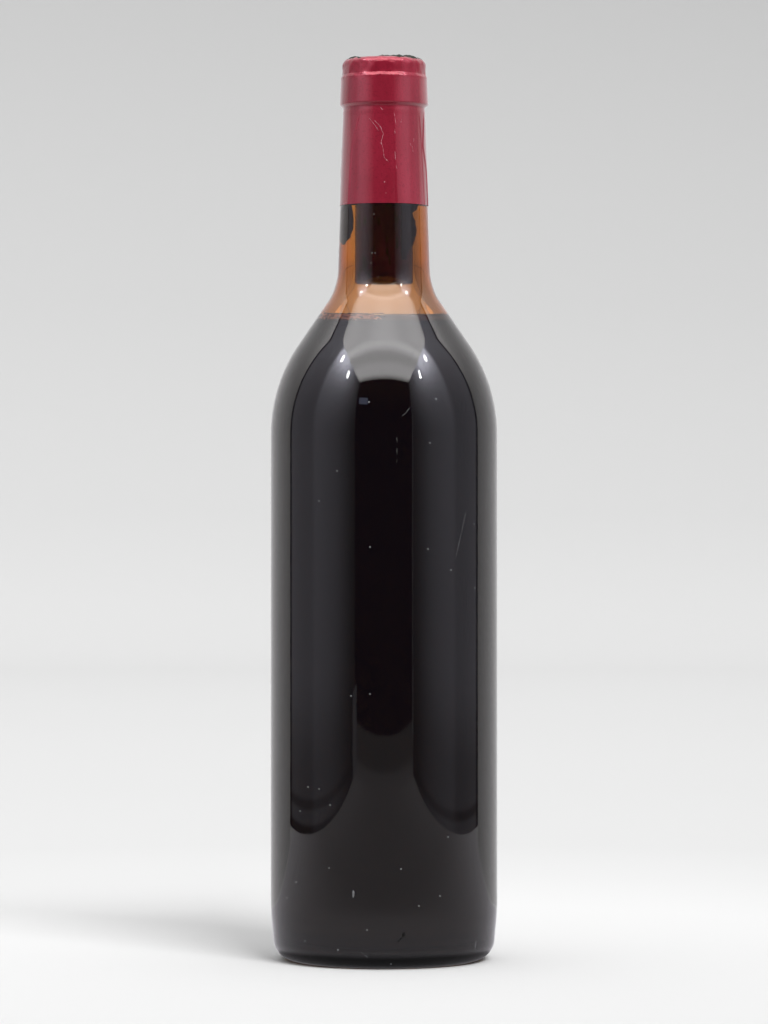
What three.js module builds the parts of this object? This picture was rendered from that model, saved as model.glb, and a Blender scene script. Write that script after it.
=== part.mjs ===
// A corked 750 ml red wine bottle of the high-shouldered claret form, in millimetres, standing on +Z.
// Amber glass vessel, dark wine up to the foot of the neck, wine-stained cork and red foil capsule.
// The origin is the centre of the base, on the surface that the bottle stands on.
import * as THREE from "three";

// Outside of the glass
const LIP_HEIGHT = 299.1;
const BODY_R = 37.7;
const BODY_FOOT_Z = 17; // where the leaning heel line would meet the body line
const HEEL_LEAN = THREE.MathUtils.degToRad(5);
const HEEL_BLEND = 60;
const HEEL_ROUND = 7;
const SHOULDER_Z = 190.96; // where the shoulder cone would meet the body line
const SHOULDER_LEAN = THREE.MathUtils.degToRad(34.5);
const SHOULDER_ROUND = 53;
const NECK_FOOT_R = 15.5;
const NECK_BLEND = 20.7;
const NECK_TOP_R = 13.45;

// Finish at the mouth: a raised band under a plain lip
const BAND_R = 14.55;
const BAND_LOW_Z = 284;
const BAND_HIGH_Z = 292.9;
const BAND_TAPER = 0.35;
const LIP_R = 13.7;
const STEP_RUN = 1;
const LIP_ROUND = 2.2;
const MOUTH_ROUND = 0.7;
const FINISH_ROUND = 0.7;

// Inside of the glass
const MOUTH_R = 9.25;
const BORE_FOOT_R = 9.95;
const BORE_FOOT_Z = 222; // where the bore would meet the inner shoulder
const BORE_BLEND = 30;
const WALL = 2.5;
const INNER_HEEL_R = 33.2;
const INNER_HEEL_BLEND = 20;
const INNER_HEEL_ROUND = 8;
const FLOOR_ROUND = 8;
const FLOOR_Z = 5.6;
const FLOOR_TROUGH_R = 24;
const FLOOR_CROWN_R = 8;
const PUNT_GLASS = 5.5;

// Punt: the domed hollow of the base, and the flat ring round it that the bottle stands on
const PUNT_R = 25.4;
const PUNT_HEIGHT = 12;
const PUNT_LIP = 1.6;

// Contents and closure
const WINE_LEVEL = 211.4;
const MENISCUS_RISE = 0.9;
const MENISCUS_RUN = 1.8;
const WINE_GAP = 0.3;
const CORK_LENGTH = 54;
const CORK_END_Z = 224.2;
const CORK_GAP = 0.2;
const CORK_CHAMFER = 0.7;
const FOIL = 0.2;
const FOIL_GAP = 0.1;
const FOIL_FOOT_Z = 250.5;
const FOIL_ROWS = 5;

// Creases in the foil and the crust on its top: how many in a turn, and how high they stand
const PLEATS = 7;
const PLEAT_RELIEF = 0.12;
const PLEAT_FADE = 15; // how far under the band the pleats begin to die away
const CRUMPLES = 11;
const CRUMPLE_RELIEF = 0.25;
const CRUMPLE_FADE = 2;
const CRUST_RELIEF = 0.5;
const CRUST_R = 7;

// Roundness of the meshes
const CHORD_ERROR = 0.1;
const WIDEST_STEP = THREE.MathUtils.degToRad(50);
const SEGMENTS = 48;
const PUNT_STEPS = 6;

// Where the lines of the shoulder cone and the neck meet, outside and inside
const CONE = Math.tan(SHOULDER_LEAN);
const NECK_FOOT_Z = SHOULDER_Z + (BODY_R - NECK_FOOT_R) / CONE;
const NECK_TOP_Z = BAND_LOW_Z - STEP_RUN;
const INNER_R = BODY_R - WALL;
const INNER_SHOULDER_Z = SHOULDER_Z - WALL * Math.tan(SHOULDER_LEAN / 2);
const INNER_CONE = (INNER_R - BORE_FOOT_R) / (BORE_FOOT_Z - INNER_SHOULDER_Z);

// Turns a polyline of [radius, height, corner rounding] into points, with an arc at each rounded corner.
function rounded(corners) {
  const points = [];
  corners.forEach(([r, z, rounding = 0], i) => {
    const here = new THREE.Vector2(r, z);
    if (!rounding || i === 0 || i === corners.length - 1) {
      points.push(here);
      return;
    }
    const before = new THREE.Vector2(...corners[i - 1].slice(0, 2)).sub(here).normalize();
    const after = new THREE.Vector2(...corners[i + 1].slice(0, 2)).sub(here).normalize();
    const turn = Math.PI - Math.acos(before.dot(after));
    const reach = rounding * Math.tan(turn / 2);
    const start = before.clone().multiplyScalar(reach).add(here);
    const side = Math.sign(before.cross(after));
    const toCentre = new THREE.Vector2(before.y, -before.x).multiplyScalar(-side * rounding);
    const centre = start.clone().add(toCentre);
    const step = Math.min(WIDEST_STEP, 2 * Math.acos(1 - CHORD_ERROR / rounding));
    const steps = Math.ceil(turn / step);
    for (let k = 0; k <= steps; k++)
      points.push(start.clone().rotateAround(centre, (-side * turn * k) / steps));
  });
  return points;
}

// Moves each point of a profile by a distance to its right-hand side, which is outwards on a rising one.
function offset(points, distance) {
  return points.map((p, i) => {
    const into = p.clone().sub(points[Math.max(i - 1, 0)]).normalize();
    const out = points[Math.min(i + 1, points.length - 1)].clone().sub(p).normalize();
    const along = into.clone().add(out).normalize();
    const stretch = distance / Math.max(along.dot(into.lengthSq() ? into : out), 0.5);
    return new THREE.Vector2(p.x + along.y * stretch, p.y - along.x * stretch);
  });
}

// The outside of the glass above the base, from the flat standing ring to the top of the lip.
function outerWall() {
  const heelR = BODY_R - BODY_FOOT_Z * Math.tan(HEEL_LEAN);
  return rounded([
    [PUNT_R + PUNT_LIP, 0],
    [heelR, 0, HEEL_ROUND],
    [BODY_R, BODY_FOOT_Z, HEEL_BLEND],
    [BODY_R, SHOULDER_Z, SHOULDER_ROUND],
    [NECK_FOOT_R, NECK_FOOT_Z, NECK_BLEND],
    [NECK_TOP_R, NECK_TOP_Z, FINISH_ROUND],
    [BAND_R, BAND_LOW_Z, FINISH_ROUND],
    [BAND_R - BAND_TAPER, BAND_HIGH_Z, FINISH_ROUND],
    [LIP_R, BAND_HIGH_Z + STEP_RUN, FINISH_ROUND],
    [LIP_R, LIP_HEIGHT, LIP_ROUND],
    [MOUTH_R, LIP_HEIGHT],
  ]);
}

// The domed punt seen from below, from its crown on the axis to the standing ring.
function punt() {
  const sphere = (PUNT_R ** 2 + PUNT_HEIGHT ** 2) / (2 * PUNT_HEIGHT);
  const points = [];
  for (let k = 0; k < PUNT_STEPS; k++) {
    const r = (PUNT_R * k) / PUNT_STEPS;
    points.push(new THREE.Vector2(r, PUNT_HEIGHT - sphere + Math.sqrt(sphere ** 2 - r ** 2)));
  }
  const slope = points[PUNT_STEPS - 1];
  const rim = rounded([
    [slope.x, slope.y],
    [PUNT_R, 0, PUNT_LIP],
    [PUNT_R + PUNT_LIP * 2, 0],
  ]);
  return [...points, ...rim.slice(1, -1)];
}

// The inside of the glass, from the top of the mouth's rounding down the bore and body to the floor's centre.
function innerWall() {
  const crown = PUNT_HEIGHT + PUNT_GLASS;
  return rounded([
    [MOUTH_R + MOUTH_ROUND, LIP_HEIGHT],
    [MOUTH_R, LIP_HEIGHT, MOUTH_ROUND],
    [BORE_FOOT_R, BORE_FOOT_Z, BORE_BLEND],
    [INNER_R, INNER_SHOULDER_Z, SHOULDER_ROUND - WALL],
    [INNER_R, BODY_FOOT_Z, INNER_HEEL_BLEND],
    [INNER_HEEL_R, FLOOR_Z, INNER_HEEL_ROUND],
    [FLOOR_TROUGH_R, FLOOR_Z, FLOOR_ROUND],
    [FLOOR_CROWN_R, crown, FLOOR_ROUND],
    [0, crown],
  ]);
}

// Turns a profile round the Z axis.
function turned(points) {
  return new THREE.LatheGeometry(points, SEGMENTS).rotateX(Math.PI / 2);
}

function glassGeometry() {
  return turned([...punt(), ...outerWall().slice(0, -1), ...innerWall().slice(1)]);
}

// Wine fills the glass to its level and climbs the wall a little in a meniscus.
function wineGeometry() {
  const wall = offset(innerWall(), WINE_GAP).filter((p) => p.y < WINE_LEVEL);
  const edgeZ = WINE_LEVEL + MENISCUS_RISE;
  const edgeR = wall[0].x - (edgeZ - wall[0].y) * INNER_CONE;
  const surface = [
    new THREE.Vector2(edgeR, edgeZ),
    new THREE.Vector2(edgeR - MENISCUS_RUN / 3, WINE_LEVEL + MENISCUS_RISE / 3),
    new THREE.Vector2(edgeR - MENISCUS_RUN, WINE_LEVEL),
    new THREE.Vector2(0, WINE_LEVEL),
  ];
  wall[wall.length - 1].x = 0;
  return turned([...wall.reverse(), ...surface]);
}

// The cork is squeezed by the bore that it fills, so it tapers with it.
function corkGeometry() {
  const topZ = CORK_END_Z + CORK_LENGTH;
  const taper = (z) => THREE.MathUtils.mapLinear(z, BORE_FOOT_Z, LIP_HEIGHT, BORE_FOOT_R, MOUTH_R);
  const footR = taper(BORE_FOOT_Z) - CORK_GAP;
  const topR = taper(topZ) - CORK_GAP;
  const points = [
    [0, CORK_END_Z],
    [footR - CORK_CHAMFER, CORK_END_Z],
    [footR, CORK_END_Z + CORK_CHAMFER],
    [topR, topZ - CORK_CHAMFER],
    [topR - CORK_CHAMFER, topZ],
    [0, topZ],
  ].map(([r, z]) => new THREE.Vector2(r, z));
  return turned(points);
}

// The glass that the capsule covers, from the foil's cut foot on the neck to the top of the lip.
function coveredGlass() {
  const upper = outerWall().filter((p) => p.y > FOIL_FOOT_Z);
  const footR = THREE.MathUtils.mapLinear(
    FOIL_FOOT_Z, NECK_FOOT_Z, NECK_TOP_Z, NECK_FOOT_R, NECK_TOP_R,
  );
  const foot = new THREE.Vector2(footR, FOIL_FOOT_Z);
  const neck = [];
  for (let k = 0; k < FOIL_ROWS; k++) neck.push(foot.clone().lerp(upper[0], k / FOIL_ROWS));
  return [...neck, ...upper];
}

// Height of the creases at an angle, 0 to 1: uneven ridges, a given number in a turn.
function creases(angle, count) {
  const drift = Math.sin(3 * angle + 1) + Math.cos(2 * angle);
  const unevenness = 0.6 + 0.4 * Math.sin(5 * angle + 2);
  return Math.cos((count * angle) / 2 + drift) ** 2 * unevenness;
}

// Raises the foil's outer side into pleats down the neck, crumples on the lip and a lumpy crust on the top.
function creaseFoil(geometry, insideCount) {
  const { smoothstep } = THREE.MathUtils;
  const position = geometry.getAttribute("position");
  const perTurn = position.count / (SEGMENTS + 1);
  for (let i = 0; i < position.count; i++) {
    const [x, y, z] = [position.getX(i), position.getY(i), position.getZ(i)];
    const r = Math.hypot(x, y);
    if (i % perTurn < insideCount || r <= CRUST_R) continue;
    const angle = Math.atan2(y, x);
    const rising = smoothstep(z, FOIL_FOOT_Z, NECK_TOP_Z - PLEAT_FADE);
    const dying = smoothstep(z, NECK_TOP_Z - PLEAT_FADE / 2, NECK_TOP_Z);
    const onLip = smoothstep(z, BAND_HIGH_Z - CRUMPLE_FADE, BAND_HIGH_Z + STEP_RUN);
    const pleat = creases(angle, PLEATS) * PLEAT_RELIEF * rising * (1 - dying);
    const crumple = creases(angle, CRUMPLES) * CRUMPLE_RELIEF * onLip;
    const out = (r + pleat + crumple) / r;
    const crust = creases(angle - 1, CRUMPLES) * CRUST_RELIEF;
    const rise = z > LIP_HEIGHT ? crust * smoothstep(r, CRUST_R, LIP_R - LIP_ROUND) : 0;
    position.setXYZ(i, x * out, y * out, z + rise);
  }
  return geometry;
}

// The foil capsule follows the glass up over the lip and shuts the mouth.
function capsuleGeometry() {
  const glass = coveredGlass();
  const inner = offset(glass, FOIL_GAP);
  const outer = offset(glass, FOIL_GAP + FOIL);
  inner[0].y = FOIL_FOOT_Z;
  outer[0].y = FOIL_FOOT_Z;
  const topZ = outer[outer.length - 1].y;
  const inside = [new THREE.Vector2(0, topZ - FOIL), ...inner.reverse()];
  const outside = [...outer, new THREE.Vector2(CRUST_R, topZ), new THREE.Vector2(0, topZ)];
  return creaseFoil(turned([...inside, ...outside]), inside.length);
}

// One named mesh for each piece of the bottle
const glassLook = new THREE.MeshStandardMaterial({
  color: 0x8a5420,
  roughness: 0.05,
  metalness: 0,
  transparent: true,
  opacity: 0.45,
});
const wineLook = new THREE.MeshStandardMaterial({ color: 0x1c070b, roughness: 0.1, metalness: 0 });
const corkLook = new THREE.MeshStandardMaterial({ color: 0x3a1a1a, roughness: 0.8, metalness: 0 });
const foilLook = new THREE.MeshStandardMaterial({ color: 0x8c1a30, roughness: 0.35, metalness: 0.3 });

function piece(name, geometry, look) {
  const mesh = new THREE.Mesh(geometry, look);
  mesh.name = name;
  return mesh;
}

const bottle = new THREE.Group();
bottle.add(
  piece("glass", glassGeometry(), glassLook),
  piece("wine", wineGeometry(), wineLook),
  piece("cork", corkGeometry(), corkLook),
  piece("capsule", capsuleGeometry(), foilLook),
);

export default bottle;
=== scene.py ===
import math

import bmesh
import bpy
from mathutils import Matrix, Vector, noise
from mathutils.bvhtree import BVHTree


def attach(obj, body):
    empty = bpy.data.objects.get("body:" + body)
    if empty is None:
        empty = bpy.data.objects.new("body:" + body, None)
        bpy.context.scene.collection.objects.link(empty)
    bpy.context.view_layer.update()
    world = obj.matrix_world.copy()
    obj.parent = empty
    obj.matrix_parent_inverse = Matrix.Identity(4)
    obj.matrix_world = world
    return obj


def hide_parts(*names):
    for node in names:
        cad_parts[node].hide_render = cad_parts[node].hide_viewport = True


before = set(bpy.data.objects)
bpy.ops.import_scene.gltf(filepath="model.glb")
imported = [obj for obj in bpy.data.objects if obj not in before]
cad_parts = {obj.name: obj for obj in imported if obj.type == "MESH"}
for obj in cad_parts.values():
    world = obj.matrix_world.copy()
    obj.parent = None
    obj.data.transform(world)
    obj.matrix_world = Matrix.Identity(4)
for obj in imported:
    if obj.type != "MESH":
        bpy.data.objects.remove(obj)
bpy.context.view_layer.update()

# Camera
# A long lens, held level a little under the middle of the bottle's height and 1.4 m in front of it.
# The picture is 768 by 1024, so the lens's angle is set by its height.
MM = 0.001
EYE = Vector((0, -1.415, 0.1487))
LENS = 149.5
SENSOR = 36
PICTURE_WIDTH = 768
PICTURE_HEIGHT = 1024
FOCAL = LENS / SENSOR * PICTURE_HEIGHT

scene = bpy.context.scene
scene.view_settings.view_transform = "Standard"
camera = bpy.data.objects.new("camera", bpy.data.cameras.new("camera"))
camera.data.lens = LENS
camera.data.sensor_width = SENSOR
camera.data.clip_end = 50
camera.location = EYE
camera.rotation_euler = (math.radians(90), 0, 0)
scene.collection.objects.link(camera)
scene.camera = camera


# Studio floor
# Seamless pale paper, flat under the bottle and curved up to a wall far behind it on every side.
# Its colour is painted lighter near the bottle and darker out along the floor and up the wall: painted light
# and shade that stand in for the studio light falling off.
class Socket:
    """A shader socket that Python's arithmetic works on: each operation adds its Math node."""

    def __init__(self, finish, socket):
        self.finish = finish
        self.socket = socket

    def maths(self, operation, *terms):
        """One Math node over its terms."""
        return self.finish.node("Math", {"operation": operation}, dict(enumerate(terms)))

    def __add__(self, other):
        return self.maths("ADD", self, other)

    def __sub__(self, other):
        return self.maths("SUBTRACT", self, other)

    def __rsub__(self, other):
        return self.maths("SUBTRACT", other, self)

    def __mul__(self, other):
        return self.maths("MULTIPLY", self, other)

    def __truediv__(self, other):
        return self.maths("DIVIDE", self, other)

    def __pow__(self, other):
        return self.maths("POWER", self, other)

    __radd__ = __add__
    __rmul__ = __mul__


class Finish:
    """A material or a surrounding being made, node by node."""

    def __init__(self, owner):
        owner.use_nodes = True
        self.owner = owner
        self.tree = owner.node_tree
        self.tree.nodes.clear()

    def node(self, kind, settings=None, sockets=None, out=0):
        """Adds a node, sets its settings and then its sockets, and gives one of its outputs."""
        made = self.tree.nodes.new("ShaderNode" + kind)
        for name, value in (settings or {}).items():
            if name == "stops":
                for stop, (place, colour) in zip(made.color_ramp.elements, value[:2]):
                    stop.position, stop.color = place, colour
                for place, colour in value[2:]:
                    made.color_ramp.elements.new(place).color = colour
            else:
                setattr(made, name, value)
        for name, value in (sockets or {}).items():
            usable = [s for s in made.inputs if s.enabled]
            target = usable[name] if isinstance(name, int) else next(s for s in usable if s.name == name)
            if isinstance(value, Socket):
                self.tree.links.new(value.socket, target)
            else:
                target.default_value = value
        outputs = [s for s in made.outputs if s.enabled]
        chosen = outputs[out] if isinstance(out, int) else next(s for s in outputs if s.name == out)
        return Socket(self, chosen)

    def place(self):
        """The point on the object that is being shaded, as X, Y and Z."""
        point = self.node("TexCoord", out="Object")
        return [self.node("SeparateXYZ", None, {0: point}, out=axis) for axis in "XYZ"]

    def ease(self, value, low, high):
        """0 below low, 1 above high, and smooth between; the other way round where low is the higher."""
        settings = {"interpolation_type": "SMOOTHSTEP"}
        if low > high:
            sockets = {"Value": value, "From Min": high, "From Max": low, "To Min": 1.0, "To Max": 0.0}
        else:
            sockets = {"Value": value, "From Min": low, "From Max": high}
        return self.node("MapRange", settings, sockets)

    def mix(self, share, first, second):
        """One colour over another by a share."""
        settings = {"data_type": "RGBA"}
        return self.node("Mix", settings, {"Factor": share, "A": first, "B": second})

    def grain(self, scale, stretch=(1, 1, 1), detail=3.0):
        """Noise with grains of about 1/scale, stretched along the axes."""
        point = self.node("TexCoord", out="Object")
        held = self.node("Mapping", None, {"Vector": point, "Scale": stretch})
        return self.node("TexNoise", None, {"Vector": held, "Scale": scale, "Detail": detail})

    def surface(self, shader, target="Surface"):
        """Ends the shader at the output."""
        kind = "OUTPUT_WORLD" if isinstance(self.owner, bpy.types.World) else "OUTPUT_MATERIAL"
        ends = [n for n in self.tree.nodes if n.type == kind]
        name = "ShaderNodeOutputWorld" if kind == "OUTPUT_WORLD" else "ShaderNodeOutputMaterial"
        end = ends[0] if ends else self.tree.nodes.new(name)
        self.tree.links.new(shader.socket, end.inputs[target])


def grey(level):
    """A neutral colour."""
    return (level, level, level, 1)


def shape(name, bm, look, smooth=True):
    """Turns a bmesh into an object at the origin with one finish."""
    mesh = bpy.data.meshes.new(name)
    bm.to_mesh(mesh)
    bm.free()
    mesh.polygons.foreach_set("use_smooth", [smooth] * len(mesh.polygons))
    mesh.materials.append(look)
    made = bpy.data.objects.new(name, mesh)
    scene.collection.objects.link(made)
    return made


def template(bm, corners, steps=12, row=3.0):
    """Draws a turner's template in the XZ plane from [radius, height, rounding] corners in mm.

    A vertex is moved along each straight, a row at a time, and spun round each rounding in steps.
    Its path is the template.
    """
    points = [Vector((c[0], 0, c[1])) * MM for c in corners]
    tip = bm.verts.new(points[0])
    for i in range(1, len(points)):
        here = points[i]
        rounding = corners[i][2] * MM if len(corners[i]) > 2 else 0
        if not rounding:
            tip = drawn_on(bm, tip, here, row)
            continue
        back = (points[i - 1] - here).normalized()
        ahead = (points[i + 1] - here).normalized()
        turn = math.pi - back.angle(ahead)
        start = here + back * rounding * math.tan(turn / 2)
        centre = here + (back + ahead).normalized() * rounding / math.cos(turn / 2)
        tip = drawn_on(bm, tip, start, row)
        spun = bmesh.ops.spin(
            bm, geom=[tip], cent=centre, axis=ahead.cross(back).normalized(), angle=turn, steps=steps
        )
        tip = next(e for e in spun["geom_last"] if isinstance(e, bmesh.types.BMVert))


def drawn_on(bm, tip, place, row):
    """Extends a template in a straight line. A short row at each end keeps its shading straight."""
    start = tip.co.copy()
    length = (place - start).length
    if length < 1e-7:
        return tip
    count = math.ceil(length / (row * MM))
    brief = min(row * MM * 0.12 / length, 0.2)
    shares = [brief] + [k / count for k in range(1, count)] + [1 - brief, 1] if count > 1 else [1]
    for share in shares:
        tip = bmesh.ops.extrude_vert_indiv(bm, verts=[tip])["verts"][0]
        tip.co = start.lerp(place, share)
    return tip


def turned(bm, sides):
    """Spins everything drawn once round the bottle's axis and closes the poles."""
    bmesh.ops.spin(
        bm, geom=bm.verts[:] + bm.edges[:], cent=(0, 0, 0), axis=(0, 0, 1),
        angle=math.tau, steps=sides, use_merge=True,
    )
    bmesh.ops.remove_doubles(bm, verts=bm.verts, dist=1e-6)
    bmesh.ops.recalc_face_normals(bm, faces=bm.faces)


PAPER_NEAR = 600
PAPER_REACH = 3600
PAPER_BEND = 900
PAPER_TOP = 2600
PAPER_SIDES = 96
PAPER_RUN = 5.0
# The paper's painted light and shade, as its tone by the distance run along it from the bottle, in metres,
# and then up its wall.
PAPER_SHADE_TONES = [
    (0.0, 0.755), (0.195, 0.728), (0.33, 0.668), (0.485, 0.62), (0.9, 0.589), (1.56, 0.56),
    (2.72, 0.536), (3.05, 0.491), (3.34, 0.443), (3.82, 0.406), (4.33, 0.392), (5.0, 0.364),
]

paper = Finish(bpy.data.materials.new("studio_paper"))
x, y, z = paper.place()
run = (x * x + y * y) ** 0.5 + z
stops = [(along / PAPER_RUN, grey(tone)) for along, tone in PAPER_SHADE_TONES]
tone = paper.node("ValToRGB", {"stops": stops}, {0: run / PAPER_RUN})
paper.surface(paper.node("BsdfDiffuse", None, {"Color": tone}))

bm = bmesh.new()
sweep = [(0, 0), (PAPER_NEAR, 0), (PAPER_REACH, 0, PAPER_BEND), (PAPER_REACH, PAPER_TOP)]
template(bm, sweep, steps=24, row=500)
turned(bm, PAPER_SIDES)
for face in bm.faces:
    if face.calc_center_median().z < PAPER_TOP * MM and face.normal.z < 0:
        face.normal_flip()
floor = shape("studio_floor", bm, paper.owner)
floor.visible_glossy = False

# Light tent
# A tent of white cloth, open at the front, with two side walls, a back wall and a lit ceiling. Its panels are
# painted light: glowing sheets that stand in for the lit cloth.
# The glass and the foil mirror it. Its panels show only there, so the camera looks through them.
TENT_HALF = 0.52
TENT_FRONT = -0.94
TENT_BACK = 0.16
TENT_TOP = 0.95
WALL_SIDES = ((-1, "left"), (1, "right"))
CLOTH_TINT = (0.95, 0.95, 1.09)
CEILING_TINT = (1.0, 0.985, 1.0)
GROUND_TINT = (0.97, 0.94, 1.0)
ROOM_TINT = (1.0, 0.86, 1.35)


def panel(name, corners, tint, glow):
    """A flat panel that is seen in reflections alone. glow is its light, or gives it from X, Y and Z."""
    cloth = Finish(bpy.data.materials.new(name))
    if callable(glow):
        level = glow(cloth, *cloth.place())
        light = cloth.node("VectorMath", {"operation": "SCALE"}, {0: tint, "Scale": level})
    else:
        light = tuple(glow * part for part in tint) + (1,)
    cloth.surface(cloth.node("Emission", None, {"Color": light, "Strength": 1.0}))
    bm = bmesh.new()
    bm.faces.new([bm.verts.new(c) for c in corners])
    made = shape(name, bm, cloth.owner, smooth=False)
    for ray in ("camera", "diffuse", "transmission", "shadow", "volume_scatter"):
        setattr(made, "visible_" + ray, False)
    return made


def upright(x0, y0, x1, y1, low=0.0, high=TENT_TOP):
    """The corners of an upright panel over a line on the ground."""
    return [(x0, y0, low), (x1, y1, low), (x1, y1, high), (x0, y0, high)]


def flat(x0, x1, y0, y1, height):
    """The corners of a level panel."""
    return [(x0, y0, height), (x1, y0, height), (x1, y1, height), (x0, y1, height)]


# Each side wall is lit in a pool round this place on it, Y and Z, that falls to half at this distance.
POOL_Y = -0.30
POOL_Z = 0.92
POOL_HALF = 0.222
POOL_GLOW = 9.0


def side_glow(cloth, x, y, z):
    """The cloth's painted light: dim, darker towards the open front, with a bright pool near the lamps and
    painted shade along a hem, a back seam and creases.
    """
    body = (0.05 + cloth.ease(y, -0.97, -0.16) ** 1.3 * 0.47) * (1 - cloth.ease(z, 0.08, 0.03) * 0.45)
    lamp_gap = ((y - POOL_Y) ** 2 + (z - POOL_Z) ** 2) ** 0.5
    pool = (1 + (lamp_gap / POOL_HALF) ** 3.0) ** -1.0
    behind = 1 - cloth.ease(y, -0.19, -0.11) * 0.86
    sheen = cloth.ease(z, 0.25, 0.8) * cloth.ease(y, -0.2, -0.05) * 0.45
    low = z - y * 0.012 + cloth.ease(x, 0.0, 0.1) * 0.005
    hem_edge = cloth.ease(low, 0.012, 0.009) * 0.75
    hem_stitch = cloth.ease(low, 0.0165, 0.0185) * cloth.ease(low, 0.0235, 0.0205) * 0.5
    hem = 1 - hem_edge - hem_stitch
    seam = 1 - cloth.ease(y, 0.118, 0.146) * 0.8
    crease_shade = 0.93 + cloth.grain(9, (1, 1, 0.4), detail=2) * 0.14
    return (body * hem + pool * POOL_GLOW * behind + sheen) * seam * crease_shade


def back_glow(cloth, x, y, z):
    """Even cloth, brighter towards the ceiling and a little darker to the sides."""
    return (0.86 + cloth.ease(z, 0.28, 0.95) * 3.0) * (1 - x * x * 0.55)


def ceiling_glow(cloth, x, y, z):
    """Two soft lit bands across the ceiling, the back one brighter, fading out at both ends."""
    back_band = cloth.ease(y, -0.46, -0.32) * (1 - cloth.ease(y, -0.31, -0.22) * 0.6)
    front_band = cloth.ease(y, -0.52, -0.66) * 0.9
    edges = cloth.ease(y, -0.99, -0.78) * cloth.ease(y, 0.1, -0.12)
    return (4.7 + back_band * 3.0 + front_band) * (0.12 + edges * 0.88)


def ground_glow(cloth, x, y, z):
    """The lit floor: brighter at the back and sides, dimmer at the front, and dark close round the bottle."""
    inside = 0.41 + cloth.ease(y, -0.35, 0.16) * 0.45 + x * x * cloth.ease(y, -0.98, -0.9) * 0.6
    beyond = 0.6 + cloth.ease(y, -1.14, -1.04) * 0.4
    shaded = 0.25 + cloth.ease((x * x + y * y) ** 0.5, 0.037, 0.044) * 0.75
    return inside * beyond * shaded


for side, word in WALL_SIDES:
    edge = side * TENT_HALF
    foot = [(edge, TENT_FRONT, -0.0005), (edge, TENT_BACK, 0.0075)]
    head = [(edge, TENT_BACK, TENT_TOP), (edge, TENT_FRONT, TENT_TOP)]
    panel(f"tent_side_{word}", foot + head, CLOTH_TINT, side_glow)
back = upright(-TENT_HALF, TENT_BACK, TENT_HALF, TENT_BACK)
panel("tent_back", back, CEILING_TINT, back_glow)
ceiling = flat(-TENT_HALF, TENT_HALF, TENT_FRONT, TENT_BACK, TENT_TOP)
panel("tent_ceiling", ceiling, CEILING_TINT, ceiling_glow)
panel("tent_ground", flat(-1.3, 1.3, -1.5, TENT_BACK, -0.001), GROUND_TINT, ground_glow)
panel("room_front", upright(-2, -1.6, 2, -1.6, -1.2, 2.4), ROOM_TINT, 0.055)

# Tent frame
# A short post at the foot of the left wall and the right wall's pale front edge, both glowing sheets of
# painted light, which the glass mirrors too.
POST_X = 0.008 - TENT_HALF
panel("tent_post", upright(POST_X, -1.0, POST_X, -0.85, 0, 0.05), CLOTH_TINT, 0.36)
panel("tent_edge", upright(TENT_HALF, -0.972, TENT_HALF, TENT_FRONT, 0.02, 0.7), CLOTH_TINT, 0.4)

# Tent lamps
# Two small bright discs high on each side wall.
# They make the paired glints on the shoulder and in the neck.
LAMPS = [(-0.25, 0.83), (-0.50, 0.775)]
LAMP_X = TENT_HALF - 0.005
LAMP_HALF_WIDTH = 0.024
LAMP_HALF_HEIGHT = 0.055
LAMP_GLOW = 45.0
LAMP_CORNERS = 16
for side, word in WALL_SIDES:
    for number, (along, height) in enumerate(LAMPS):
        turns = [math.tau * k / LAMP_CORNERS for k in range(LAMP_CORNERS)]
        rim = [
            (side * LAMP_X, along + LAMP_HALF_WIDTH * math.cos(a), height + LAMP_HALF_HEIGHT * math.sin(a))
            for a in turns
        ]
        panel(f"tent_lamp_{word}_{number + 1}", rim, (1.0, 1.0, 1.0), LAMP_GLOW)

# Light
# Even white light from all round, and a broad soft lamp high on the front right.
# The lamp lays the bottle's shadow to the left.
SURROUND = 1.1
TO_LAMP = Vector((0.52, -1.0, 0.97))
LAMP_STRENGTH = 3.15
LAMP_SPREAD = 30

room = Finish(bpy.data.worlds.new("studio"))
room.surface(room.node("Background", None, {"Color": grey(1.0), "Strength": SURROUND}))
scene.world = room.owner

lamp = bpy.data.objects.new("key", bpy.data.lights.new("key", "SUN"))
lamp.data.energy = LAMP_STRENGTH
lamp.data.angle = math.radians(LAMP_SPREAD)
lamp.rotation_euler = TO_LAMP.to_track_quat("Z", "Y").to_euler()
lamp.visible_glossy = False
lamp.visible_transmission = False
scene.collection.objects.link(lamp)

# Glass
# One blown vessel of amber bottle glass: round heel and shoulder, straight body, banded lip, domed punt.
# The walls are 2.5 mm thick in the body and about 4 mm in the neck, and clear all through.
BODY_R = 37.7
WALL = 2.5
INNER_R = BODY_R - WALL
HEEL_R = 36.2
HEEL_Z = 17
INNER_HEEL_R = 33.2
SHOULDER_SLOPE = math.radians(34.5)
CONE = math.tan(SHOULDER_SLOPE)
SHOULDER_Z = 190.96
INNER_SHOULDER_Z = SHOULDER_Z - WALL * math.tan(SHOULDER_SLOPE / 2)
SHOULDER_ROUND = 53
NECK_FOOT_R = 15.5
NECK_FOOT_Z = SHOULDER_Z + (BODY_R - NECK_FOOT_R) / CONE
NECK_TOP_R = 13.45
NECK_TOP_Z = 283
LIP_R = 13.7
LIP_Z = 299.1
LIP_ROUND = 2.2
MOUTH_R = 9.25
BORE_FOOT_R = 9.95
BORE_FOOT_Z = 222
INNER_CONE = (INNER_R - BORE_FOOT_R) / (BORE_FOOT_Z - INNER_SHOULDER_Z)
FLOOR_Z = 5.6
CROWN_Z = 17.5
GLASS_SIDES = 192
GLASS_STEPS = 14

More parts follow.
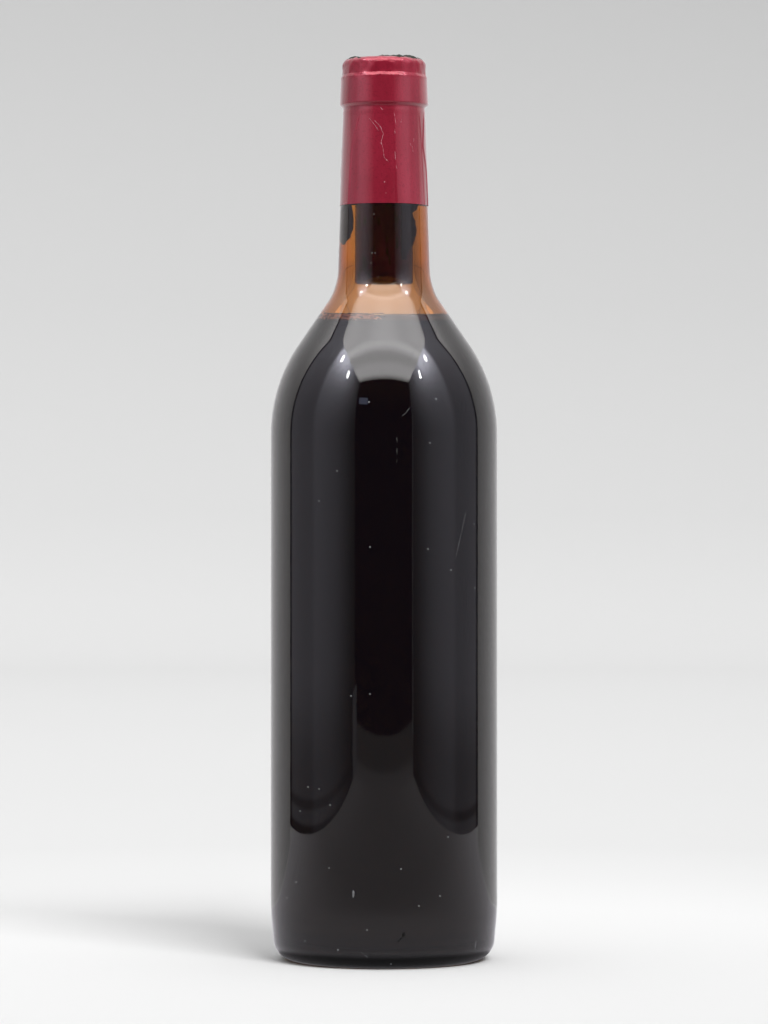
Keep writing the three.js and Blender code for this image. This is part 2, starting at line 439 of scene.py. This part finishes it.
# Corners of [radius, height, rounding] in mm, from the punt up the outside to the lip and down the inside.
punt = [(0, 12), (15.54, 12, 31), (25.4, 0, 1.6)]
body_side = [
    (HEEL_R, 0, 7),
    (BODY_R, HEEL_Z, 60),
    (BODY_R, SHOULDER_Z, SHOULDER_ROUND),
    (NECK_FOOT_R, NECK_FOOT_Z, 20.7),
]
band_side = [
    (NECK_TOP_R, NECK_TOP_Z, 0.7),
    (14.55, 284, 0.7),
    (14.2, 292.9, 0.7),
    (LIP_R, 293.9, 0.7),
]
inside = [
    (MOUTH_R, LIP_Z, 0.7),
    (BORE_FOOT_R, BORE_FOOT_Z, 30),
    (INNER_R, INNER_SHOULDER_Z, SHOULDER_ROUND - WALL),
    (INNER_R, HEEL_Z, 20),
    (INNER_HEEL_R, FLOOR_Z, 8),
    (24, FLOOR_Z, 8),
    (8, CROWN_Z, 8),
    (0, CROWN_Z),
]

# The glass takes little red, some green and most blue from light that runs through it, in each metre.
TAKEN = (46.0, 139.0, 345.0)
DENSITY = 350.0

glass = Finish(bpy.data.materials.new("amber_glass"))
ripples = glass.grain(45, (1, 1, 0.25), detail=2)
waves = glass.node("Bump", None, {"Strength": 0.05, "Distance": 0.0006, "Height": ripples})
vessel = glass.node("BsdfPrincipled", None, {
    "Base Color": grey(1.0), "Roughness": 0.015, "IOR": 1.52, "Transmission Weight": 1.0, "Normal": waves,
})
glass.surface(vessel)
body_colour = tuple(1 - taken / DENSITY for taken in TAKEN) + (1,)
glass.surface(glass.node("VolumeAbsorption", None, {"Color": body_colour, "Density": DENSITY}), "Volume")

bm = bmesh.new()
template(bm, [*punt, *body_side, *band_side, (LIP_R, LIP_Z, LIP_ROUND), *inside], GLASS_STEPS)
turned(bm, GLASS_SIDES)
bottle = shape("bottle_glass", bm, glass.owner)
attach(bottle, "root")
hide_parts("glass")

# Wine
# Old red wine, too dark to see through, that wets the glass up to its level at the foot of the neck.
# It reaches a hair into the wall, so that no air shows between them, and creeps up the glass at its edge.
WINE_Z = 211.4
BITE = 0.15
CREEP = 0.9
CREEP_WIDTH = 0.35
edge_r = BORE_FOOT_R + BITE + (BORE_FOOT_Z - WINE_Z - CREEP) * INNER_CONE

wine = Finish(bpy.data.materials.new("red_wine"))
x, y, z = wine.place()
haze = wine.grain(60, detail=2)
depth = wine.mix(haze, (0.0046, 0.0024, 0.0108, 1), (0.0066, 0.0032, 0.0140, 1))
# Painted light: the top 1.5 mm of the wine is painted a lighter red-brown, standing in for light that shines
# through its thin edge.
near_top = wine.ease(z, (WINE_Z - 1.5) * MM, (WINE_Z + 0.2) * MM)
lit_brim = wine.mix(near_top, depth, (0.07, 0.018, 0.008, 1))
liquid = wine.node("BsdfPrincipled", None, {
    "Base Color": lit_brim, "Roughness": 0.25, "IOR": 1.34, "Specular IOR Level": 0.1,
})
wine.surface(liquid)

bm = bmesh.new()
wetted = [
    (0, CROWN_Z - BITE),
    (7.95, CROWN_Z - BITE, 8),
    (23.95, FLOOR_Z - BITE, 8),
    (INNER_HEEL_R + BITE, FLOOR_Z - BITE, 8),
    (INNER_R + BITE, HEEL_Z, 20),
    (INNER_R + BITE, INNER_SHOULDER_Z, SHOULDER_ROUND - WALL),
    (edge_r, WINE_Z + CREEP),
    (edge_r - CREEP_WIDTH, WINE_Z, 1.2),
    (0, WINE_Z),
]
template(bm, wetted, GLASS_STEPS)
turned(bm, GLASS_SIDES)
drink = shape("wine_fill", bm, wine.owner)
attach(drink, "root")
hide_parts("wine")

# Cork
# A natural cork, squeezed into the bore and soaked dark by the wine.
# Its foot shows through the neck, painted lighter in patches low on its left and right sides: a painted
# reflection. Its drier top is hidden by the foil.
CORK_FOOT = 224.2
CORK_TOP = 278.2
CORK_SIDES = 96

cork = Finish(bpy.data.materials.new("soaked_cork"))
x, y, z = cork.place()
pores = cork.grain(420, (1, 1, 0.35), detail=4)
blotches = cork.grain(110, (1, 1, 0.5), detail=3)
soaked = cork.mix(cork.ease(blotches, 0.35, 0.65), (0.030, 0.0002, 0.030, 1), (0.058, 0.0004, 0.052, 1))
# Painted reflection: low on the cork, its left and right sides as the camera sees them are painted a lighter
# dusky pink in patches, standing in for the light that the neck's inner wall reflects there.
off_centre = cork.ease((x * x) ** 0.5, 0.0055, 0.0085)
painted_side_sheen = cork.ease(z, 0.236, 0.226) * off_centre * cork.ease(blotches, 0.3, 0.6)
side_sheened = cork.mix(painted_side_sheen, soaked, (0.13, 0.05, 0.055, 1))
dry = cork.mix(cork.ease(z, 0.256, 0.270), side_sheened, (0.16, 0.075, 0.04, 1))
pitted = cork.mix(cork.ease(pores, 0.56, 0.66), dry, (0.008, 0.001, 0.003, 1))
rough = cork.node("Bump", None, {"Strength": 0.4, "Distance": 0.0004, "Height": pores})
bark = cork.node("BsdfPrincipled", None, {
    "Base Color": pitted, "Roughness": 0.6, "Specular IOR Level": 0.05, "Normal": rough,
})
cork.surface(bark)

bm = bmesh.new()
plug = [(0, CORK_FOOT), (9.72, CORK_FOOT, 0.8), (9.3, CORK_TOP, 0.8), (0, CORK_TOP)]
template(bm, plug, steps=6)
turned(bm, CORK_SIDES)
stopper = shape("cork_stopper", bm, cork.owner)
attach(stopper, "root")
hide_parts("cork")

# Seeps round the cork
# Two patches of old wine that has crept up between the cork and the glass and dried there.
# Where they wet the glass the dark cork shows through it, out beyond the cork's own edge.
def wall_r(z):
    """The glass's inner radius at a height near the neck, in mm."""
    bore = MOUTH_R + (LIP_Z - z) * (BORE_FOOT_R - MOUTH_R) / (LIP_Z - BORE_FOOT_Z)
    return max(bore, BORE_FOOT_R + (BORE_FOOT_Z - z) * INNER_CONE)


def film(name, look, place, across, up, thick, bite):
    """A film on the glass's inner wall, pressed bite mm into it.

    place gives the degrees from the front and the height of each of its points.
    """
    bm = bmesh.new()
    bmesh.ops.create_grid(bm, x_segments=across, y_segments=up, size=0.5)
    for vert in bm.verts:
        turn, height = place(vert.co.x + 0.5, vert.co.y + 0.5)
        r = wall_r(height) + bite
        turn = math.radians(turn)
        vert.co = Vector((r * math.sin(turn), -r * math.cos(turn), height)) * MM
    bmesh.ops.recalc_face_normals(bm, faces=bm.faces)
    made = shape(name, bm, look)
    body = made.modifiers.new("body", "SOLIDIFY")
    body.thickness = thick * MM
    body.offset = 0
    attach(made, "root")
    return made


def between(rows, z):
    """The values at a height, from rows of [height, values...] listed from the top down."""
    for upper, lower in zip(rows, rows[1:]):
        if z >= lower[0]:
            share = (z - lower[0]) / (upper[0] - lower[0])
            return [b + (a - b) * share for a, b in zip(upper[1:], lower[1:])]
    return list(rows[-1][1:])


def seep_place(rows):
    """Gives film() the places on a patch with a frayed edge."""
    top, foot = rows[0][0], rows[-1][0]

    def place(u, v):
        height = foot + (top - foot) * v
        start, end = between(rows, height)
        fray = noise.noise(Vector((height * 0.9, u, len(rows)))) * 2.5
        return start + (end - start) * u + fray, height

    return place


seep = Finish(bpy.data.materials.new("dried_wine"))
residue = seep.mix(seep.grain(300, detail=3), (0.010, 0.004, 0.005, 1), (0.026, 0.014, 0.014, 1))
seep.surface(seep.node("BsdfPrincipled", None, {
    "Base Color": residue, "Roughness": 0.5, "Specular IOR Level": 0.1,
}))

# Rows of [height, degrees from the front where the patch begins and ends]
SEEPS = {
    "left": [
        (253, -118, -68), (250.2, -124, -66), (248.2, -128, -62), (245, -132, -59),
        (242, -130, -61), (239.8, -122, -68), (238.2, -104, -80), (237.4, -94, -87),
    ],
    "right": [
        (254, 30, 72), (249.2, 30, 68), (248.3, 30, 60), (247.6, 30, 53), (244.5, 30, 61),
        (242.2, 30, 64), (239.6, 30, 61), (237, 30, 54), (235, 30, 44), (232, 30, 40),
    ],
}
SEEP_THICK = 0.14
SEEP_BITE = 0.06
for side, rows in SEEPS.items():
    film(f"seep_{side}", seep.owner, seep_place(rows), 40, 60, SEEP_THICK, SEEP_BITE)

# Lees
# A crust of pale pinkish lees that has dried on the glass along the wine's edge, on the left.
# Its foot dips into the wine and its top edge is wavy.
CRUST_THICK = 0.12
CRUST_BITE = 0.22

crust = Finish(bpy.data.materials.new("lees"))
clots = crust.grain(700, (1, 1, 1.4), detail=4)
clotted = crust.mix(crust.ease(clots, 0.42, 0.62), (0.62, 0.36, 0.26, 1), (0.22, 0.1, 0.06, 1))
crust.surface(crust.node("BsdfPrincipled", None, {
    "Base Color": clotted, "Roughness": 0.7, "Specular IOR Level": 0.1,
}))


def lees_top(turn):
    """The wavy height of the lees' upper edge, in mm."""
    waves = noise.noise(Vector((turn * 0.09, 1, 0))) * 0.5 + noise.noise(Vector((turn * 0.4, 2, 0))) * 0.25
    return WINE_Z + 1.2 + waves


def lees_place(u, v):
    """The places on the crust, which thins out at both ends."""
    turn = -84 + 82 * u
    low = WINE_Z - 0.4 + noise.noise(Vector((turn * 0.3, 5, 0))) * 0.7
    return turn, low + (lees_top(turn) - low) * v * min(1, u * 9 + 0.04, (1 - u) * 9 + 0.04)


film("lees_crust", crust.owner, lees_place, 160, 8, CRUST_THICK, CRUST_BITE)

# Tide lines
# Thin dark brown lines of dried wine on the glass.
# The left one runs along the top of the lees and the right one just over the wine.
tide = Finish(bpy.data.materials.new("tide_line"))
tide.surface(tide.node("BsdfPrincipled", None, {"Base Color": (0.03, 0.009, 0.006, 1), "Roughness": 0.6}))


def tide_left_place(u, v):
    """The places on the left line, over the lees."""
    turn = -80 + 80 * u
    return turn, lees_top(turn) + v * (0.25 + 0.35 * abs(noise.noise(Vector((turn * 0.2, 8, 0)))))


def tide_right_place(u, v):
    """The places on the right line, over the wine's creeping edge."""
    turn = 78 * u
    return turn, WINE_Z + CREEP + 0.1 + v * (0.2 + 0.3 * abs(noise.noise(Vector((turn * 0.15, 4, 0)))))


film("tide_line_left", tide.owner, tide_left_place, 160, 3, CRUST_THICK, CRUST_BITE)
film("tide_line_right", tide.owner, tide_right_place, 200, 3, CRUST_THICK, CRUST_BITE)

# Capsule
# A sheath of crimson lacquered foil, spun tight over the neck, band and lip and folded flat over the mouth.
# It is pleated where it was gathered to the neck, and crumpled round the lip.
FOIL_FOOT_R = 14.565
FOIL_FOOT_Z = 250.5
FOIL_OUT = 0.16
FOIL_THICK = 0.12
FOIL_SIDES = 288

foil = Finish(bpy.data.materials.new("crimson_foil"))
x, y, z = foil.place()
mottle = foil.grain(160, (1, 1, 0.4), detail=5)
speckled = foil.grain(1500, detail=2)
even = foil.mix(foil.ease(mottle, 0.3, 0.7), (0.245, 0.0085, 0.024, 1), (0.29, 0.012, 0.032, 1))
lacquer = foil.mix(foil.ease(speckled, 0.5, 0.75) * 0.5, even, (0.17, 0.006, 0.017, 1))
dusted = foil.ease(z, 0.2915, 0.2935)
dulled = 1 - dusted * 0.5 - foil.ease(speckled, 0.3, 0.7) * 0.12
texture = foil.node("Bump", None, {"Strength": 0.22, "Distance": 0.0002, "Height": speckled + mottle * 2})
sheath = foil.node("BsdfPrincipled", None, {
    "Base Color": lacquer, "Roughness": 0.3, "Metallic": 0.25, "Specular IOR Level": 0.15,
    "Coat Weight": dulled, "Coat Roughness": 0.16, "Normal": texture,
})
foil.surface(sheath)

foil_side = [
    (FOIL_FOOT_R + FOIL_OUT, FOIL_FOOT_Z),
    *((r + FOIL_OUT, height, rounding) for r, height, rounding in band_side),
    (LIP_R + FOIL_OUT, LIP_Z + FOIL_OUT, LIP_ROUND),
    (0, LIP_Z + FOIL_OUT),
]
# Laps where the foil is pleated: points of [height, degrees from the front] down each one, how far it stands
# out in mm and the side that it falls away to, over LAP_FALL mm. LAP_EDGE is its sharp side's width.
LAPS = [
    ([(281, -35), (269, -49), (251, -53)], 0.24, -1),
    ([(281, 13.5), (262, 15.5), (251, 17)], 0.09, 1),
    ([(281, 73), (270, 65), (262, 76), (251, 79)], 0.26, 1),
    ([(281, 58), (272, 62), (251, 66)], 0.1, 1),
    ([(281, 118), (251, 112)], 0.2, 1),
    ([(281, -100), (262, -96), (251, -99)], 0.2, -1),
    ([(281, 165), (251, 171)], 0.15, 1),
    ([(281, -150), (251, -146)], 0.2, -1),
]
LAP_FALL = 3.4
LAP_EDGE = 0.3
LAP_TOP = 282.5
LAP_FULL = 278
NECK_RADIUS = 14
# The second ring, where the foil is drawn in under the band
RING_Z = 281.3
RING_STAND = 0.11
RING_HALF = 0.45


def eased(value, low, high):
    """0 at low, 1 at high and smooth between."""
    share = min(1, max(0, (value - low) / (high - low)))
    return share * share * (3 - 2 * share)


def foil_relief(turn, z, place):
    """How far the foil stands off the glass in mm: laps, a second ring under the band and a crumpled lip."""
    relief = noise.noise(Vector((place.x, place.y, place.z * 0.35)) * 190) * 0.05
    for path, stand, fall in LAPS:
        away = math.remainder(turn - between(path, z)[0], 360) * math.radians(NECK_RADIUS) * fall
        lap = math.exp(-away / LAP_FALL) if away > 0 else max(0, 1 + away / LAP_EDGE)
        relief += stand * lap * eased(z, LAP_TOP, LAP_FULL)
    relief += RING_STAND * math.exp(-((z - RING_Z) / RING_HALF) ** 2)
    crumple = noise.noise(Vector((place.x, place.y, place.z * 1.6)) * 420) * 0.2
    crumple += noise.noise(place * 1100) * 0.06
    return relief + crumple * eased(z, 291.8, 293.4)


bm = bmesh.new()
template(bm, foil_side, steps=8, row=0.8)
turned(bm, FOIL_SIDES)
for vert in bm.verts:
    across = Vector((vert.co.x, vert.co.y, 0))
    if across.length > 1 * MM:
        turn = math.degrees(math.atan2(vert.co.x, -vert.co.y))
        relief = foil_relief(turn, vert.co.z / MM, vert.co)
        vert.co += across.normalized() * relief * MM * eased(across.length / MM, 4, 12)
capsule = shape("foil_capsule", bm, foil.owner)
thickness = capsule.modifiers.new("foil", "SOLIDIFY")
thickness.thickness = FOIL_THICK * MM
thickness.offset = -1
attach(capsule, "root")
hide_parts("capsule")

# Mould on the foil
# A lumpy black-green crust that has grown on the capsule's top, thickest over its right front edge.
# Where it would be thinner than nothing it runs under the foil.
MOULD_THICK = 0.1

mould = Finish(bpy.data.materials.new("mould"))
tufts = mould.grain(900, detail=4)
lumps = mould.node("Bump", None, {"Strength": 0.6, "Distance": 0.0003, "Height": tufts})
growth = mould.mix(tufts, (0.007, 0.008, 0.006, 1), (0.032, 0.034, 0.026, 1))
mould.surface(mould.node("BsdfPrincipled", None, {
    "Base Color": growth, "Roughness": 0.8, "Specular IOR Level": 0.2, "Normal": lumps,
}))


def mould_depth(turn, place):
    """How thick the crust is over the foil in mm; below 0 it is hidden in the foil's own thickness."""
    heap = 0.8 * math.exp(-(math.remainder(turn - 58, 360) / 30) ** 2)
    heap += 0.35 * math.exp(-(math.remainder(turn - 4, 360) / 26) ** 2)
    rough = noise.noise(place * 260) * 0.8 + noise.noise(place * 900) * 0.3
    return heap + rough - 0.1


rim_r = LIP_R + FOIL_OUT - MOULD_THICK
rim_z = LIP_Z + FOIL_OUT - MOULD_THICK
mould_r = 6.5
bm = bmesh.new()
template(bm, [(rim_r - 0.25, rim_z - 2.4), (rim_r, rim_z, 2.1), (mould_r, rim_z)], steps=8, row=0.4)
turned(bm, FOIL_SIDES)
for vert in bm.verts:
    r = math.hypot(vert.co.x, vert.co.y) / MM
    turn = math.degrees(math.atan2(vert.co.x, -vert.co.y))
    edges = eased(r, mould_r, 9) * eased(vert.co.z / MM, rim_z - 2.3, rim_z - 0.3)
    vert.co.z += max(mould_depth(turn, vert.co) * edges, -MOULD_THICK) * MM
heap = shape("mould_crust", bm, mould.owner)
thickness = heap.modifiers.new("crust", "SOLIDIFY")
thickness.thickness = MOULD_THICK * MM
thickness.offset = -1
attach(heap, "root")

# Dust on the glass
# Pale specks of dust and small dried drops that stick to the glass.
# Each is put where the camera's line through a pixel of the picture meets the bottle.
PIXEL = 0.3326
views = bpy.context.evaluated_depsgraph_get()
surfaces = {"glass": BVHTree.FromObject(bottle, views), "foil": BVHTree.FromObject(capsule, views)}


def seen(tree, column, row):
    """Where the line through a pixel meets a surface, and the way that the surface faces there."""
    sight = Vector(((column - PICTURE_WIDTH / 2) / FOCAL, 1, (PICTURE_HEIGHT / 2 - row) / FOCAL)).normalized()
    return surfaces[tree].ray_cast(EYE, sight)[:2]


def fleck(bm, tree, column, row, size):
    """A low lump, its size given in pixels, each PIXEL mm wide on the bottle."""
    spot, facing = seen(tree, column, row)
    if spot is None:
        return
    r = size * PIXEL * MM / 2
    stand = Matrix.Translation(spot) @ facing.to_track_quat("Z", "Y").to_matrix().to_4x4()
    squash = Matrix.Diagonal((1, 0.8 + 0.4 * noise.noise(spot * 3000), 0.25, 1))
    bmesh.ops.create_icosphere(bm, subdivisions=2, radius=r, matrix=stand @ squash)


def speckle(name, tint, rough=0.7):
    """A plain dry finish for specks, scratches and films."""
    dust = Finish(bpy.data.materials.new(name))
    dust.surface(dust.node("BsdfPrincipled", None, {
        "Base Color": tint, "Roughness": rough, "Specular IOR Level": 0.2,
    }))
    return dust.owner


# Each speck is [column, row, size], all in pixels. Its glow makes it look wider than it is, so less is built.
GLASS_FLECKS = [
    (369, 402, 1.8), (436, 399, 1.8), (370, 547, 1.6), (428, 549, 1.6), (337, 471, 1.6), (319, 501, 1.6),
    (430, 443, 1.5), (451, 570, 1.6), (474, 524, 1.5), (475, 588, 1.5), (370, 694, 1.6), (351, 696, 1.6),
    (308, 787, 1.6), (319, 789, 1.6), (330, 805, 1.5), (300, 811, 1.5), (448, 837, 1.6), (329, 868, 1.6),
    (401, 869, 1.6), (296, 882, 1.7), (287, 898, 1.6), (419, 906, 1.6), (440, 896, 1.5), (367, 930, 1.6),
    (305, 941, 1.7), (338, 950, 1.6), (391, 964, 1.8), (372, 253, 1.1), (375, 253, 1.0), (371, 263, 1.2),
    (374, 214, 0.9), (378, 277, 0.9),
]
FLECK_SHARE = 0.85

bm = bmesh.new()
for column, row, size in GLASS_FLECKS:
    fleck(bm, "glass", column, row, size * FLECK_SHARE)
flecks = shape("glass_flecks", bm, speckle("pale_dust", (0.32, 0.335, 0.36, 1)))
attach(flecks, "root")

# Scratches in the glass
# Fine pale scratches and two runs of dried drops on the front of the body.
# Each is a thin strip with a closed body that follows the glass, worn away here and there.
FILM = 0.03
STRIP_STEP = 1.2
STRIP_LIFT = 0.02
STRIP_WANDER = 0.12


def thickened(bm, faces):
    """Gives flat faces a closed body FILM thick, pointing outwards all round."""
    for face in faces:
        face.normal_update()
    bmesh.ops.solidify(bm, geom=faces, thickness=FILM * MM)
    bmesh.ops.recalc_face_normals(bm, faces=bm.faces)


def scratch(bm, tree, pixels, width):
    """A thin strip along a line of pixels, its width given in pixels and tapering to both ends."""
    rail = []
    for (x0, y0), (x1, y1) in zip(pixels, pixels[1:]):
        count = max(2, round(math.hypot(x1 - x0, y1 - y0) / STRIP_STEP))
        rail += [(x0 + (x1 - x0) * k / count, y0 + (y1 - y0) * k / count) for k in range(count)]
    rail.append(pixels[-1])
    last = len(rail) - 1
    pairs = []
    for k, (column, row) in enumerate(rail):
        spot, facing = seen(tree, column, row)
        if spot is None:
            continue
        before, after = rail[max(k - 1, 0)], rail[min(k + 1, last)]
        ahead = Vector((after[0] - before[0], 0, before[1] - after[1])).normalized()
        side = facing.cross(ahead).normalized()
        wander = noise.noise(Vector((column * 0.4, row * 0.4, 3))) * STRIP_WANDER
        worn = max(0.12, 0.55 + noise.noise(Vector((column * 0.5, row * 0.5, 9))))
        taper = min(1, k / 2 + 0.15, (last - k) / 2 + 0.15)
        half = width * PIXEL * MM / 2 * taper * worn
        middle = spot + facing * STRIP_LIFT * MM + side * wander * MM
        pairs.append((bm.verts.new(middle - side * half), bm.verts.new(middle + side * half)))
    thickened(bm, [bm.faces.new((a, c, d, b)) for (a, b), (c, d) in zip(pairs, pairs[1:])])


# Each scratch is a line of [column, row] pixels and its width in pixels.
GLASS_SCRATCHES = [
    ([(402, 416), (406, 413), (410, 407)], 0.55),
    ([(397, 436), (397, 443)], 0.4),
    ([(397, 448), (397, 455)], 0.4),
    ([(397, 459), (396.5, 463)], 0.4),
    ([(466, 511), (462, 530), (456, 556)], 0.35),
    ([(361, 952), (365, 955), (368, 958)], 0.6),
    ([(353, 890), (353.4, 894), (353, 898)], 2.6),
    ([(476, 941), (475.5, 945), (475, 949)], 1.6),
]
bm = bmesh.new()
for pixels, width in GLASS_SCRATCHES:
    scratch(bm, "glass", pixels, width)
lines = shape("glass_scratches", bm, speckle("scratched_glass", (0.16, 0.16, 0.17, 1), 0.5))
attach(lines, "root")

# Dark marks on the glass
# Two small near-black marks, painted low on the front of the body.
# They are laid on the surface, because nothing in the wall would show through the dark wine.
GLASS_DARK_MARKS = [
    ([(402, 936.5), (403.5, 935), (405, 932)], 5.2),
    ([(398, 942), (399.5, 940), (401, 938)], 4.8),
]
bm = bmesh.new()
for pixels, width in GLASS_DARK_MARKS:
    scratch(bm, "glass", pixels, width)
dark_marks = shape("glass_dark_marks", bm, speckle("dark_mark", (0.003, 0.003, 0.003, 1), 0.9))
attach(dark_marks, "root")

# Dried film
# A square patch of something that has dried on the glass, high on the front of the body.
# It is dark and faintly blue.
DRIED_CORNERS = [(359.5, 397.5), (368, 398), (367.5, 404.5), (359, 404)]
bm = bmesh.new()
spots = [seen("glass", column, row) for column, row in reversed(DRIED_CORNERS)]
patch = bm.faces.new([bm.verts.new(spot + facing * FILM * MM) for spot, facing in spots])
thickened(bm, [patch])
square = shape("dried_film", bm, speckle("blue_film", (0.014, 0.016, 0.028, 1), 0.5), smooth=False)
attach(square, "root")

# Scratches in the foil
# Pale scratches and nicks where the crimson lacquer has been rubbed off the foil's neck.
# They are as thin as the eye can tell, and some stand in a row down the front.
FOIL_SCRATCHES = [
    ([(369, 118), (374, 124), (379, 131)], 0.9),
    ([(374, 120), (380, 126), (383.5, 134), (381, 142), (383, 148)], 0.9),
    ([(383, 148), (384, 157), (389, 162)], 0.7),
    ([(380, 107), (383, 110)], 1.0),
    ([(394, 112), (396, 125)], 0.8),
    ([(401.5, 119), (401, 123)], 1.3),
    ([(395, 129), (395, 134)], 1.0),
    ([(395, 151), (395.5, 160)], 1.1),
    ([(396, 165), (397, 169)], 0.9),
    ([(414, 138), (413.5, 142)], 1.2),
    ([(412, 146), (413, 152)], 1.3),
    ([(410, 143), (411, 146)], 0.8),
    ([(385, 159), (387, 161)], 1.2),
    ([(381, 141), (381.5, 145)], 1.4),
]
FOIL_FLECKS = [(384.5, 182, 1.4), (344, 204, 2.4), (346, 202.5, 1.2), (381, 143, 1.2), (386, 193, 0.8)]
SCRATCH_SHARE = 0.8

bm = bmesh.new()
for pixels, width in FOIL_SCRATCHES:
    scratch(bm, "foil", pixels, width * SCRATCH_SHARE)
for column, row, size in FOIL_FLECKS:
    fleck(bm, "foil", column, row, size)
bared = shape("foil_scratches", bm, speckle("bared_foil", (0.42, 0.15, 0.18, 1), 0.4))
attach(bared, "root")
